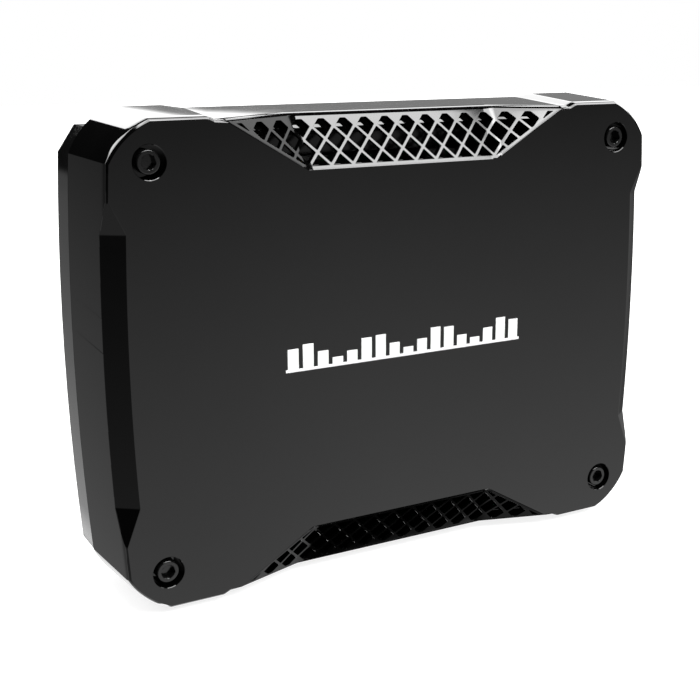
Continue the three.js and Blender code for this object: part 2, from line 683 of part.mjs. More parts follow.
// ---- assembly -----------------------------------------------------------------------------
function addCasing() {
  const [upper, lower] = upperAndLower(upperGrille());
  place('front_cover', frontCover(), 'satinBlack');
  place('chassis_base', chassisBase(), 'chassis');
  place('vent_grille_upper', upper, 'glossBlack');
  place('vent_grille_lower', lower, 'glossBlack');
  place('emblem', emblem(), 'print');
  screwPlaces.forEach(([name, sx, sz]) => place(`cover_screw_${name}`, coverScrew(sx, sz), 'blackSteel'));
}

function addInputs() {
  place('connector_panel', connectorPanel(), 'panel');
  place('rca_block', rcaBlock(), 'terminal');
  rcaPlaces().forEach(([depth, z], k) => place(`rca_socket_${k + 1}`, rcaSocket(depth, z), 'nickel'));
}

function addControls() {
  const names = ['front_gain', 'rear_gain', 'crossover', 'bass_boost'];
  KNOB.z.forEach((z, k) => {
    place(`${names[k]}_knob`, knob(z), 'panel');
    place(`${names[k]}_potentiometer`, potentiometer(z), 'zinc');
  });
  ['front_filter', 'rear_filter'].forEach((name, k) => {
    place(`${name}_switch_body`, switchBody(SWITCH.z[k]), 'zinc');
    place(`${name}_switch_slider`, switchSlider(SWITCH.z[k]), 'panel');
  });
  place('power_led', powerLed(), 'led');
  place('control_board', controlBoard(), 'board');
}

function addTerminals() {
  place('speaker_terminal_block', speakerBlock(), 'terminal');
  for (let way = 0; way < SPEAKER.ways; way += 1) {
    place(`speaker_terminal_screw_${way + 1}`, clampScrew(SPEAKER, way), 'zinc');
  }
  place('power_terminal_block', powerBlock(), 'terminal');
  for (let way = 0; way < POWER.ways; way += 1) {
    place(`power_terminal_screw_${way + 1}`, clampScrew(POWER, way), 'zinc');
  }
  place('fuse_holder', fuseHolder(), 'terminal');
  place('fuse_housing', fuseHousing(), 'fuse');
  place('fuse_element', fuseElement(), 'zinc');
}

function addElectronics() {
  place('main_board', mainBoard(), 'board');
  place('toroid_core', toroidCore(), 'ferrite');
  place('toroid_winding', toroidWinding(), 'copper');
  CAPACITOR.places.forEach((at, k) => place(`capacitor_${k + 1}`, capacitor(at), 'terminal'));
  CHOKE.places.forEach((at, k) => place(`output_choke_${k + 1}`, choke(at), 'ferrite'));
  const [upperBar, lowerBar] = upperAndLower(block(CLAMP_BAR.x, CLAMP_BAR.depth, CLAMP_BAR.z));
  place('upper_clamp_bar', upperBar, 'aluminium');
  place('lower_clamp_bar', lowerBar, 'aluminium');
  TRANSISTOR.places.forEach((x, k) => {
    const [upper, lower] = upperAndLower(transistor(x));
    place(`upper_transistor_${k + 1}`, upper, 'panel');
    place(`lower_transistor_${k + 1}`, lower, 'panel');
  });
}

addCasing();
addInputs();
addControls();
addTerminals();
addElectronics();

export default amplifier;
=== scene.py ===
"""Looks of a compact four-channel car amplifier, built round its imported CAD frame.

Shapes are worked out in millimetres, with depth measured back from the front face, and are
turned into metres when they become pieces.
"""

import math

import bmesh
import bpy
from mathutils import Matrix, Vector


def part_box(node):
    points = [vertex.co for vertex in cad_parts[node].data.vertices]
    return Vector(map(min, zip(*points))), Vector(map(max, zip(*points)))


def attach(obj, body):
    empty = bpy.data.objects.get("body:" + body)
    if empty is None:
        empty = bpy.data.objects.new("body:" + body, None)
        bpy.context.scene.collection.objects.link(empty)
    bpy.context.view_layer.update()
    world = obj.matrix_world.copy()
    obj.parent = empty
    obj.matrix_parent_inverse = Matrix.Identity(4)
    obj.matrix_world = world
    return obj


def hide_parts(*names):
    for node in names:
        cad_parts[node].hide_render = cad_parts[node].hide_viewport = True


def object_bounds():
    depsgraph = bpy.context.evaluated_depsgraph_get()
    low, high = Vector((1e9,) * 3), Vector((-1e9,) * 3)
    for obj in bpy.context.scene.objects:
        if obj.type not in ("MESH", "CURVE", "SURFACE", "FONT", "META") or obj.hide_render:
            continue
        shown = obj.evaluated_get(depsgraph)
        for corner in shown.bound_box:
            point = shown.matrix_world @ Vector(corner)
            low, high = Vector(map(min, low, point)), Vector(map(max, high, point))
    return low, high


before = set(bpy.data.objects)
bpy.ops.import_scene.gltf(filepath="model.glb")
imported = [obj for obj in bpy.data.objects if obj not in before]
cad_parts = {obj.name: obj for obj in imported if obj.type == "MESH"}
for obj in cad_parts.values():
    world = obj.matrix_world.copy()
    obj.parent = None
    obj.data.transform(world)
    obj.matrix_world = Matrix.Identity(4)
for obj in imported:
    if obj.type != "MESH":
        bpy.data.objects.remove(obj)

MM = 0.001
cad_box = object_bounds()


def box_mm(node):
    low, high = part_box(node)
    return low / MM, high / MM


COVER_LOW, COVER_HIGH = box_mm("front_cover")
BASE_LOW, BASE_HIGH = box_mm("chassis_base")
FRONT_Y = COVER_LOW.y
COVER_DEPTH = COVER_HIGH.y - FRONT_Y
END = -COVER_LOW.x
TOP = COVER_HIGH.z
FLOOR_Z = cad_box[0].z

# ---- driving sizes of the casing ------------------------------------------------------------
SIDE_RADIUS = 904
CORNER_RADIUS = 24.3
SEAM = 0.3
# half outlines of the cover: at the face, behind its chamfer, and at its back rim
FACE = dict(end=97.75, corner_z=62, corner_x=83.1, block_z=73.4, block_x=65.9, band_x=63.7, band_z=72.35)
EDGE = dict(end=98.65, corner_z=62.3, corner_x=83.4, block_z=74.3, block_x=65.7, band_x=63.4, band_z=73.25)
RIM = dict(end=END, corner_z=63, corner_x=85.5, block_z=TOP, block_x=69, band_x=62.8, band_z=TOP - 0.95)
EDGE_DEPTH = 1.25
# how far from FACE to EDGE, and at which depth: a flat chamfer, then narrow ones beside the side
CHAMFER = [(0, 0), (0.58, 0.55), (0.68, 0.72), (0.82, 1.04), (0.97, 1.7)]
SIDE_RING_DEPTHS = [2.2, 3.4, COVER_DEPTH]
CAVITY = [
    (3, dict(end=90.5, corner_z=56, facet_x=83, edge_z=66)),
    (7, dict(end=94.6, corner_z=59, facet_x=87, edge_z=69.6)),
    (COVER_DEPTH + 1, dict(end=96.6, corner_z=60, facet_x=89, edge_z=69.6)),
]
SCOOP = dict(inner=92.7, radius=850, depth=4.5, top=42.2, bottom=-39.8, apex=53.4, stations=24)
VENT = dict(front_z=57.3, crease_z=73.68, crease_depth=8.8, front_x=34.3, crease_x=36.3, apex_x=61.3)
VENT_BLANK = dict(x=(-80, 80), depth=(-6, 24), z=(40, 90))
VENT_DEPTHS = [-1, 16]
WINDOW_DEPTHS = [0, 26]
CELL_DEPTHS = [-2, 20]
# the edge above the vent: distance behind it, height over the cover's top surface
BROW = [(2.64, 0), (0.84, -0.23), (-0.36, -0.65), (-1.5, -1.05), (-1.5, 1), (2.9, 1)]
BROW_OVERRUN = 2
CREASE_FILLET = 2.2
MESH = dict(pitch=7.47, rib=0.85, rows=4, columns=9, first_z=58.4, low_z=58.3, high_z=71.8, margin=0.9,
            least_area=1.2, rounding=0.3)
GRILLE_THICKNESS = 1.8
GRILLE_RIM = 0.12
GRILLE_SEAM = 0.05
GRILLE_TRIM = 60
LEDGE = dict(high=4.4, low=0.9, thickness=1.6)
SCREW = dict(x=83.8, z=62.1, head=3.55, height=4, sink=0.6, shank=2, length=31, fillet=0.45, hex=4.8,
             hex_depth=2.2, hex_turn=-14, countersink=0.86)
COUNTERBORE = dict(radius=5.0, mouth=0.15, hole=2.3)
POST = dict(radius=7, start=2, meet=27)
KNOB = dict(radius=3.0, shaft=1.6, skirt=1.2, flutes=16, slot=0.4, slot_depth=0.9)
RCA = dict(outer=4.15, wall=0.7, well=8, insert=3.42, bore=1.6, recess=0.85)
# the cover's softened edges: only those near these places
SOFT_EDGE = dict(width=0.22, degrees=12, longer=0.3, vent_x=62, scoop_x=91, scoop_depth=6, screw_clear=7)
CORNERS = [("upper_left", -1, 1), ("upper_right", 1, 1), ("lower_left", -1, -1), ("lower_right", 1, -1)]


# ---- mesh tools -----------------------------------------------------------------------------
def y_at(depth):
    return FRONT_Y + depth


def from_bmesh(name, bm):
    bmesh.ops.recalc_face_normals(bm, faces=bm.faces)
    mesh = bpy.data.meshes.new(name)
    bm.to_mesh(mesh)
    bm.free()
    obj = bpy.data.objects.new(name, mesh)
    bpy.context.scene.collection.objects.link(obj)
    return obj


def loft(rings, name="loft", bm=None):
    """A closed body through rings of equally many points, in millimetres."""
    own = bm is None
    bm = bm or bmesh.new()
    loops = [[bm.verts.new(point) for point in ring] for ring in rings]
    count = len(rings[0])
    for near, far in zip(loops, loops[1:]):
        for i in range(count):
            j = (i + 1) % count
            bm.faces.new((near[i], near[j], far[j], far[i]))
    bm.faces.new(loops[0])
    bm.faces.new(loops[-1][::-1])
    return from_bmesh(name, bm) if own else bm


def prism_y(outline, depths, bm=None):
    return loft([[(x, y_at(depth), z) for x, z in outline] for depth in depths], bm=bm)


def box(x, depth, z, bm=None):
    outline = [(x[0], z[0]), (x[1], z[0]), (x[1], z[1]), (x[0], z[1])]
    return prism_y(outline, depth, bm=bm)


def circle(radius, segments, turn=0.0):
    steps = [turn + 2 * math.pi * k / segments for k in range(segments)]
    return [(radius * math.cos(a), radius * math.sin(a)) for a in steps]


def turned_y(profile, x, z, segments=64, turn=0.0):
    """A body of revolution about a line along Y, from (depth, radius) pairs."""
    rings = [[(x + u, y_at(depth), z + v) for u, v in circle(radius, segments, turn)]
             for depth, radius in profile]
    return loft(rings)


def turned_x(profile, depth, z, segments=40, turn=0.0):
    """A body of revolution about a line along X, from (x, radius) pairs."""
    rings = [[(x, y_at(depth) + u, z + v) for u, v in circle(radius, segments, turn)]
             for x, radius in profile]
    return loft(rings)


def boolean(target, tool, operation="DIFFERENCE"):
    modifier = target.modifiers.new("boolean", "BOOLEAN")
    modifier.operation = operation
    modifier.object = tool
    modifier.solver = "EXACT"
    graph = bpy.context.evaluated_depsgraph_get()
    mesh = bpy.data.meshes.new_from_object(target.evaluated_get(graph))
    target.modifiers.clear()
    target.data = mesh
    bpy.data.objects.remove(tool, do_unlink=True)
    return target


def cut(target, *tools):
    for tool in tools:
        boolean(target, tool)
    return target


def tidy(bm):
    bmesh.ops.remove_doubles(bm, verts=bm.verts, dist=0.004)
    bmesh.ops.dissolve_degenerate(bm, dist=0.004, edges=bm.edges)


def bevel_edges(bm, chosen, width, segments=2):
    edges = [edge for edge in bm.edges if chosen(edge)]
    bmesh.ops.bevel(bm, geom=edges, offset=width, offset_type="OFFSET", segments=segments,
                    profile=0.5, affect="EDGES", clamp_overlap=False, miter_outer="ARC",
                    harden_normals=False)


def sharp(edge, degrees=25, longer=0.0):
    if len(edge.link_faces) != 2 or edge.calc_length() < longer:
        return False
    return edge.calc_face_angle(0) > math.radians(degrees)


def soften(obj, width, segments=2, where=None, degrees=25, longer=0.0):
    """Rounds the sharp edges of an object for which where(middle of the edge) is true."""
    bm = bmesh.new()
    bm.from_mesh(obj.data)
    tidy(bm)

    def chosen(edge):
        if not sharp(edge, degrees, longer):
            return False
        middle = (edge.verts[0].co + edge.verts[1].co) / 2
        return where is None or where(middle)

    bevel_edges(bm, chosen, width, segments)
    bmesh.ops.recalc_face_normals(bm, faces=bm.faces)
    bm.to_mesh(obj.data)
    bm.free()
    return obj


def shade(obj, degrees=30):
    mesh = obj.data
    mesh.shade_smooth()
    mesh.set_sharp_from_angle(angle=math.radians(degrees))
    weighted = obj.modifiers.new("weighted_normal", "WEIGHTED_NORMAL")
    weighted.keep_sharp = True
    weighted.weight = 80


def piece(obj, name, look, slot, body, *nodes, degrees=30):
    """Turns a shape into a piece: metres, shading, material and its body; it hides the nodes it stands
    for.
    """
    obj.name = name
    obj.data.name = name
    obj.data.transform(Matrix.Scale(MM, 4))
    shade(obj, degrees)
    obj.data.materials.clear()
    obj.data.materials.append(look)
    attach(obj, body)
    if nodes:
        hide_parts(*nodes)
    return obj


def copy_of(node):
    """The CAD node's shape as a new object, in millimetres, with its shared points joined."""
    bm = bmesh.new()
    bm.from_mesh(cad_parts[node].data)
    bmesh.ops.scale(bm, vec=(1 / MM,) * 3, verts=bm.verts)
    bmesh.ops.remove_doubles(bm, verts=bm.verts, dist=0.002)
    bmesh.ops.dissolve_limit(bm, angle_limit=math.radians(0.3), verts=bm.verts, edges=bm.edges)
    return from_bmesh(node, bm)


# ---- materials ------------------------------------------------------------------------------
def new_material(name):
    material = bpy.data.materials.new(name)
    material.use_nodes = True
    tree = material.node_tree
    shader = tree.nodes["Principled BSDF"]
    return material, tree, shader


def noise_of(tree, scale, detail=3.0):
    place = tree.nodes.new("ShaderNodeTexCoord")
    noise = tree.nodes.new("ShaderNodeTexNoise")
    noise.inputs["Scale"].default_value = scale
    noise.inputs["Detail"].default_value = detail
    tree.links.new(place.outputs["Object"], noise.inputs["Vector"])
    return noise.outputs["Fac"]


def spread(tree, value, low, high):
    ranged = tree.nodes.new("ShaderNodeMapRange")
    ranged.inputs["From Min"].default_value = 0.3
    ranged.inputs["From Max"].default_value = 0.7
    ranged.inputs["To Min"].default_value = low
    ranged.inputs["To Max"].default_value = high
    tree.links.new(value, ranged.inputs["Value"])
    return ranged.outputs["Result"]


def surface(name, dark, light, rough, metallic=0.0, patch=60, grain=3000, bump=0.02, distance=0.00002,
            coat=0.0, specular=0.5):
    """Colour that drifts between two shades, roughness that drifts, and a fine surface grain."""
    material, tree, shader = new_material(name)
    patches = noise_of(tree, patch)
    ramp = tree.nodes.new("ShaderNodeValToRGB")
    ramp.color_ramp.elements[0].position = 0.3
    ramp.color_ramp.elements[1].position = 0.7
    ramp.color_ramp.elements[0].color = (*dark, 1)
    ramp.color_ramp.elements[1].color = (*light, 1)
    tree.links.new(patches, ramp.inputs["Fac"])
    tree.links.new(ramp.outputs["Color"], shader.inputs["Base Color"])
    tree.links.new(spread(tree, noise_of(tree, patch * 2.3), *rough), shader.inputs["Roughness"])
    lumps = tree.nodes.new("ShaderNodeBump")
    lumps.inputs["Strength"].default_value = bump
    lumps.inputs["Distance"].default_value = distance
    tree.links.new(noise_of(tree, grain, 2.0), lumps.inputs["Height"])
    tree.links.new(lumps.outputs["Normal"], shader.inputs["Normal"])
    shader.inputs["Metallic"].default_value = metallic
    shader.inputs["Specular IOR Level"].default_value = specular
    shader.inputs["Coat Weight"].default_value = coat
    return material


def grey(level, warm=0.0):
    return (level * (1 + warm), level, level * (1 - warm))


LOOKS = {
    "cover": surface("cover_gloss", grey(0.0006), grey(0.0011), (0.02, 0.03), bump=0.002),
    "grille": surface("grille_gloss", grey(0.0006), grey(0.0011), (0.05, 0.08), bump=0.01),
    "base": surface("base_satin", grey(0.003), grey(0.0045), (0.09, 0.13), bump=0.02, grain=1800),
    "screw": surface("screw_black_oxide", grey(0.003), grey(0.006), (0.12, 0.18), bump=0.03),
    "print": surface("print_white", grey(0.86), grey(0.92), (0.35, 0.45), bump=0.02),
    "panel": surface("panel_plastic", grey(0.012), grey(0.018), (0.38, 0.5), bump=0.25, grain=1500),
    "terminal": surface("terminal_nylon", grey(0.02), grey(0.03), (0.4, 0.52), bump=0.2, grain=1200),
    "brass": surface("plated_brass", (0.86, 0.62, 0.27), (0.92, 0.7, 0.34), (0.16, 0.26), metallic=1.0,
                     bump=0.05),
    "zinc": surface("zinc_plated", grey(0.5, -0.02), grey(0.6, 0.0), (0.26, 0.4), metallic=1.0,
                    bump=0.08, patch=220),
    "fuse": surface("fuse_red", (0.5, 0.035, 0.025), (0.58, 0.05, 0.035), (0.2, 0.3), bump=0.04),
    "board": surface("board_green", (0.01, 0.09, 0.04), (0.015, 0.12, 0.055), (0.35, 0.5), bump=0.1),
    "ferrite": surface("ferrite_grey", grey(0.03), grey(0.05), (0.6, 0.75), bump=0.3, grain=900),
    "copper": surface("enamelled_copper", (0.6, 0.22, 0.08), (0.7, 0.28, 0.1), (0.2, 0.32), metallic=1.0,
                      bump=0.2, grain=700),
    "sleeve": surface("capacitor_sleeve", (0.012, 0.016, 0.03), (0.02, 0.026, 0.045), (0.25, 0.35),
                      bump=0.04),
    "package": surface("package_epoxy", grey(0.02), grey(0.03), (0.5, 0.65), bump=0.3, grain=1100),
    "aluminium": surface("clamp_aluminium", grey(0.55), grey(0.64), (0.3, 0.42), metallic=1.0, bump=0.1),
    "led": surface("led_lens", (0.15, 0.4, 0.75), (0.2, 0.5, 0.85), (0.05, 0.1), bump=0.01),
    "insulator_red": surface("insulator_red", (0.5, 0.03, 0.025), (0.56, 0.045, 0.03), (0.3, 0.4),
                             bump=0.05),
    "insulator_white": surface("insulator_white", grey(0.75), grey(0.82), (0.3, 0.4), bump=0.05),
}


# ---- the front cover ------------------------------------------------------------------------
def barrel(end, z):
    return end - z * z / (2 * SIDE_RADIUS)


def arc_between(start, end, radius, segments):
    """Points on a shallow arc that bulges outwards, without its first point."""
    start, end = Vector(start), Vector(end)
    chord = end - start
    half = math.asin(chord.length / 2 / radius)
    inward = Vector((-chord.y, chord.x)).normalized()
    centre = (start + end) / 2 + inward * radius * math.cos(half)
    points = []
    for k in range(1, segments + 1):
        spun = Matrix.Rotation(2 * half * k / segments, 2) @ (start - centre)
        points.append(tuple(centre + spun))
    return points


def round_corner(before, corner, after, reach, segments=4):
    """The corner replaced by a curve that starts and ends reach away from it."""
    corner = Vector(corner)
    first = corner + (Vector(before) - corner).normalized() * reach
    last = corner + (Vector(after) - corner).normalized() * reach
    points = []
    for k in range(segments + 1):
        t = k / segments
        points.append(tuple(first * (1 - t) ** 2 + corner * 2 * t * (1 - t) + last * t ** 2))
    return points


def mirrored(quarter):
    upper = quarter + [(-x, z) for x, z in reversed(quarter)]
    return upper + [(x, -z) for x, z in reversed(upper[1:-1])]


def end_curve(end, corner_z, segments=24):
    return [(barrel(end, corner_z * k / segments), corner_z * k / segments) for k in range(segments + 1)]


def cover_outline(end, corner_z, corner_x, block_z, block_x, band_x, band_z):
    side = end_curve(end, corner_z)
    corner = arc_between(side[-1], (corner_x, block_z), CORNER_RADIUS, 12)
    block = round_corner((corner_x, block_z), (block_x, block_z), (band_x, band_z), 0.5)
    step = round_corner((block_x, block_z), (band_x, band_z), (0, band_z), 0.5)
    return mirrored(side + corner + block + step)


def between(first, second, share):
    return {key: first[key] + (second[key] - first[key]) * share for key in first}


def outline_ring(outline, depth):
    return [(x, y_at(depth), z) for x, z in outline]


def cover_shell():
    rings = []
    for share, depth in CHAMFER:
        rings.append(outline_ring(cover_outline(**between(FACE, EDGE, share)), depth))
    for depth in SIDE_RING_DEPTHS:
        share = (depth - EDGE_DEPTH) / (COVER_DEPTH - EDGE_DEPTH)
        rings.append(outline_ring(cover_outline(**between(EDGE, RIM, share)), depth))
    return loft(rings)


def cavity_outline(end, corner_z, facet_x, edge_z):
    return mirrored(end_curve(end, corner_z, 6) + [(facet_x, edge_z)])


def scoop_cutter(side):
    overrun = 0.3
    past_side = 6
    deep = SCOOP["depth"]
    top, bottom, count = SCOOP["top"], SCOOP["bottom"], SCOOP["stations"]
    width = barrel(EDGE["end"], top) - (SCOOP["inner"] - top ** 2 / (2 * SCOOP["radius"]))
    stations = [bottom + (top - bottom) * k / count for k in range(count + 1)]
    rings = []
    for z in [-SCOOP["apex"], *stations, SCOOP["apex"]]:
        at_apex = abs(z) == SCOOP["apex"]
        inner = barrel(EDGE["end"], z) if at_apex else SCOOP["inner"] - z * z / (2 * SCOOP["radius"])
        over = width * overrun
        rings.append([
            (side * (inner - over), y_at(-deep * overrun), z),
            (side * (inner + width + over), y_at(deep * (1 + overrun)), z),
            (side * (inner + width + past_side), y_at(-deep), z),
        ])
    return loft(rings)


def vent_facets():
    """A point on each of the vent's three facets and its normal, which points to the front."""
    front = Vector((VENT["front_x"], y_at(0), VENT["front_z"]))
    back = Vector((VENT["crease_x"], y_at(VENT["crease_depth"]), VENT["crease_z"]))
    apex = Vector((VENT["apex_x"], y_at(0), EDGE["band_z"]))
    crease = back - front
    middle = crease.cross(Vector((1, 0, 0))).normalized()
    end = crease.cross(apex - front).normalized()
    facets = []
    for point, normal in [(front, middle), (front, end)]:
        facets.append((point, normal if normal.y < 0 else -normal))
    flip = Vector((-1, 1, 1))
    facets.append((front * flip, facets[1][1] * flip))
    return facets


def clip(bm, point, normal):
    """Keeps what lies on the side that the normal points to, and closes the cut."""
    geometry = bm.verts[:] + bm.edges[:] + bm.faces[:]
    result = bmesh.ops.bisect_plane(bm, geom=geometry, plane_co=point, plane_no=-normal, clear_outer=True)
    edges = [item for item in result["geom_cut"] if isinstance(item, bmesh.types.BMEdge)]
    if edges:
        bmesh.ops.contextual_create(bm, geom=edges)
    bmesh.ops.recalc_face_normals(bm, faces=bm.faces)


def vent_body(bm, offset, fillet=CREASE_FILLET):
    facets = vent_facets()
    for point, normal in facets:
        clip(bm, point - normal * offset, normal)
    normals = [normal for _, normal in facets]

    def creased(edge):
        if len(edge.link_faces) != 2:
            return False
        sides = [max(abs(face.normal.dot(normal)) for normal in normals) for face in edge.link_faces]
        return min(sides) > 0.9999 and edge.calc_face_angle(0) > 0.1

    edges = [edge for edge in bm.edges if creased(edge)]
    if fillet and edges:
        bmesh.ops.bevel(bm, geom=edges, offset=fillet, offset_type="OFFSET", segments=6, profile=0.5,
                        affect="EDGES", clamp_overlap=False)
    return bm


def vent_space(offset):
    bm = box(VENT_BLANK["x"], VENT_BLANK["depth"], VENT_BLANK["z"], bm=bmesh.new())
    bmesh.ops.recalc_face_normals(bm, faces=bm.faces)
    return from_bmesh("vent_space", vent_body(bm, offset))


def vent_outline(margin, low=0, high=0):
    """The vent's outline seen from the front, drawn in by a margin, and by more below and above."""
    slope = Vector((VENT["apex_x"] - VENT["front_x"], EDGE["band_z"] - VENT["front_z"])).normalized()

    def edge_x(z):
        return VENT["front_x"] + ((z - VENT["front_z"]) * slope.x - margin) / slope.y

    bottom = VENT["front_z"] + margin + low
    top = VENT["crease_z"] - margin - high
    return [(-edge_x(bottom), bottom), (edge_x(bottom), bottom), (edge_x(top), top), (-edge_x(top), top)]


def vent_brow():
    """A cutter that eases the edge between the cover's top and the vent with two narrow facets."""
    slope = (RIM["band_z"] - EDGE["band_z"]) / (COVER_DEPTH - EDGE_DEPTH)
    along = Vector((VENT["apex_x"] - VENT["crease_x"], -VENT["crease_depth"])).normalized()
    behind = Vector((-along.y, along.x))

    def point(x, depth, height):
        return (x, y_at(depth), VENT["crease_z"] + slope * (depth - VENT["crease_depth"]) + height)

    def ring(x, at_corner):
        points = []
        for distance, height in BROW:
            at_x = VENT["crease_x"] + distance * (1 - behind.y) / behind.x if at_corner else x
            run = (distance - (at_x - VENT["crease_x"]) * behind.x) / behind.y
            points.append(point(at_x, VENT["crease_depth"] + run, height))
        return points

    corner, tip = ring(0, True), ring(VENT["apex_x"] + BROW_OVERRUN, False)
    flipped = [[(-x, y, z) for x, y, z in near] for near in (tip, corner)]
    return loft([*flipped, corner, tip])


def upside_down(obj):
    obj.data.transform(Matrix.Scale(-1, 4, (0, 0, 1)))
    obj.data.flip_normals()
    return obj


def upper_and_lower(make):
    return [make(), upside_down(make())]


def cover_cavity():
    cavity = loft([outline_ring(cavity_outline(**outline), depth) for depth, outline in CAVITY])
    behind = GRILLE_THICKNESS + SEAM + LEDGE["thickness"]
    cut(cavity, *upper_and_lower(lambda: vent_space(behind)))
    profile = [(POST["start"], POST["radius"]), (POST["meet"], POST["radius"])]
    posts = [turned_y(profile, sx * SCREW["x"], sz * SCREW["z"], 32) for _, sx, sz in CORNERS]
    return cut(cavity, *posts)


def vent_pocket():
    bm = prism_y(vent_outline(GRILLE_RIM), VENT_DEPTHS, bm=bmesh.new())
    bmesh.ops.recalc_face_normals(bm, faces=bm.faces)
    return from_bmesh("pocket", vent_body(bm, GRILLE_THICKNESS + SEAM))


def counterbore(sx, sz):
    seat = SCREW["sink"] + SCREW["height"] + SEAM
    radius, mouth = COUNTERBORE["radius"], COUNTERBORE["mouth"]
    profile = [(-1, radius + mouth), (0, radius + mouth), (mouth, radius), (seat, radius)]
    return turned_y(profile, sx * SCREW["x"], sz * SCREW["z"], 96)


def front_cover():
    cover = cover_shell()
    cut(cover, cover_cavity())
    cut(cover, *upper_and_lower(lambda: vent_space(0)), *upper_and_lower(vent_brow))
    cut(cover, *upper_and_lower(vent_pocket))
    window = vent_outline(GRILLE_RIM, LEDGE["low"], LEDGE["high"])
    cut(cover, *upper_and_lower(lambda: prism_y(window, WINDOW_DEPTHS)))
    bore = COUNTERBORE["hole"]
    for _, sx, sz in CORNERS:
        hole = turned_y([(-1, bore), (COVER_DEPTH, bore)], sx * SCREW["x"], sz * SCREW["z"], 32)
        cut(cover, counterbore(sx, sz), hole)
    cut(cover, scoop_cutter(-1), scoop_cutter(1))
    panel = box_mm("connector_panel")
    cut(cover, box((80, 110), (panel[0].y - FRONT_Y - SEAM, panel[1].y - FRONT_Y + SEAM),
                   (panel[0].z - SEAM, panel[1].z + SEAM)))

    def outside(point):
        depth = point.y - FRONT_Y
        on_front = depth < 0.05
        on_vent = abs(point.z) > VENT["front_z"] - 0.5 and depth < VENT["crease_depth"] + 2
        clear = SOFT_EDGE["screw_clear"]
        near_screw = any(math.hypot(point.x - sx * SCREW["x"], point.z - sz * SCREW["z"]) < clear
                         for _, sx, sz in CORNERS)
        in_scoop = abs(point.x) > SOFT_EDGE["scoop_x"] and abs(point.z) < SCOOP["apex"]
        on_scoop = in_scoop and depth < SOFT_EDGE["scoop_depth"]
        return (on_vent and abs(point.x) < SOFT_EDGE["vent_x"] or on_scoop or on_front) and not near_screw

    return soften(cover, SOFT_EDGE["width"], 2, outside, SOFT_EDGE["degrees"], SOFT_EDGE["longer"])


# ---- the grilles ----------------------------------------------------------------------------
def clip_outline(outline, region):
    """The part of one convex outline inside another, both counter-clockwise."""
    for start, end in zip(region, region[1:] + region[:1]):
        def inside(point):
            return ((end[0] - start[0]) * (point[1] - start[1])
                    - (end[1] - start[1]) * (point[0] - start[0]))
        kept = []
        for here, there in zip(outline, outline[1:] + outline[:1]):
            a, b = inside(here), inside(there)
            if a >= 0:
                kept.append(here)
            if (a >= 0) != (b >= 0):
                t = a / (a - b)
                kept.append((here[0] + (there[0] - here[0]) * t, here[1] + (there[1] - here[1]) * t))
        outline = kept
        if len(outline) < 3:
            return []
    return outline


def area_of(outline):
    return sum(a[0] * b[1] - b[0] * a[1] for a, b in zip(outline, outline[1:] + outline[:1])) / 2


def rounded(outline, reach):
    points = []
    for before, corner, after in zip(outline[-1:] + outline[:-1], outline, outline[1:] + outline[:1]):
        shortest = min(math.dist(before, corner), math.dist(corner, after))
        points += round_corner(before, corner, after, min(reach, shortest * 0.4), 3)
    return points


def mesh_cells():
    half = (MESH["pitch"] - MESH["rib"] * math.sqrt(2)) / 2
    outline = vent_outline(MESH["margin"])
    (low_x, low_z), (high_x, high_z) = outline[1], outline[2]

    def slope_x(z):
        return low_x + (z - low_z) * (high_x - low_x) / (high_z - low_z)

    bottom, top = MESH["low_z"], MESH["high_z"]
    wide, narrow = slope_x(top), slope_x(bottom)
    region = [(-narrow, bottom), (narrow, bottom), (wide, top), (-wide, top)]
    bm = bmesh.new()
    for row in range(MESH["rows"]):
        z = MESH["first_z"] + row * MESH["pitch"] / 2
        for column in range(-MESH["columns"], MESH["columns"] + 1):
            x = (column + (row % 2) / 2) * MESH["pitch"]
            diamond = [(x + half, z), (x, z + half), (x - half, z), (x, z - half)]
            cell = clip_outline(diamond, region)
            if cell and area_of(cell) > MESH["least_area"]:
                prism_y(rounded(cell, MESH["rounding"]), CELL_DEPTHS, bm=bm)
    return from_bmesh("cells", bm)


def upper_grille():
    bm = prism_y(vent_outline(GRILLE_RIM + GRILLE_SEAM), VENT_DEPTHS, bm=bmesh.new())
    bmesh.ops.recalc_face_normals(bm, faces=bm.faces)
    vent_body(bm, GRILLE_THICKNESS)
    clip(bm, Vector((GRILLE_TRIM, 0, 0)), Vector((-1, 0, 0)))
    clip(bm, Vector((-GRILLE_TRIM, 0, 0)), Vector((1, 0, 0)))
    plate = from_bmesh("grille", bm)
    cut(plate, vent_space(0), vent_brow(), mesh_cells())
    return soften(plate, 0.06, 1, degrees=28, longer=0.15)


# ---- fasteners and emblem -------------------------------------------------------------------
def cover_screw(sx, sz):
    x, z = sx * SCREW["x"], sz * SCREW["z"]
    top = SCREW["sink"]
    under = top + SCREW["height"]
    radius, fillet = SCREW["head"], SCREW["fillet"]
    profile = []
    for k in range(5):
        angle = math.pi / 2 * k / 4
        profile.append((top + fillet * (1 - math.sin(angle)), radius - fillet * (1 - math.cos(angle))))
    profile = profile[::-1]
    shank, end, point = SCREW["shank"], under + SCREW["length"], 0.5
    profile += [(under, radius), (under, shank), (end - point, shank), (end, shank - 0.4)]
    screw = turned_y(profile, x, z, 64)
    across, flare = SCREW["hex"] / 2, SCREW["countersink"]
    turn = math.radians(SCREW["hex_turn"])
    hexagon = turned_y([(top - 1, across), (top + SCREW["hex_depth"], across)], x, z, 6, turn)
    mouth = turned_y([(top - 1, across + flare), (top + 0.2, across + flare - 1.2)], x, z, 48)
    return cut(screw, hexagon, mouth)


def emblem():
    shape = copy_of("emblem")
    return soften(shape, 0.05, 1)


# ---- the end panel's parts ------------------------------------------------------------------
def slot_place(node):
    low, high = box_mm(node)
    middle = (low + high) / 2
    return middle.y - FRONT_Y, middle.z, low.x, high.x


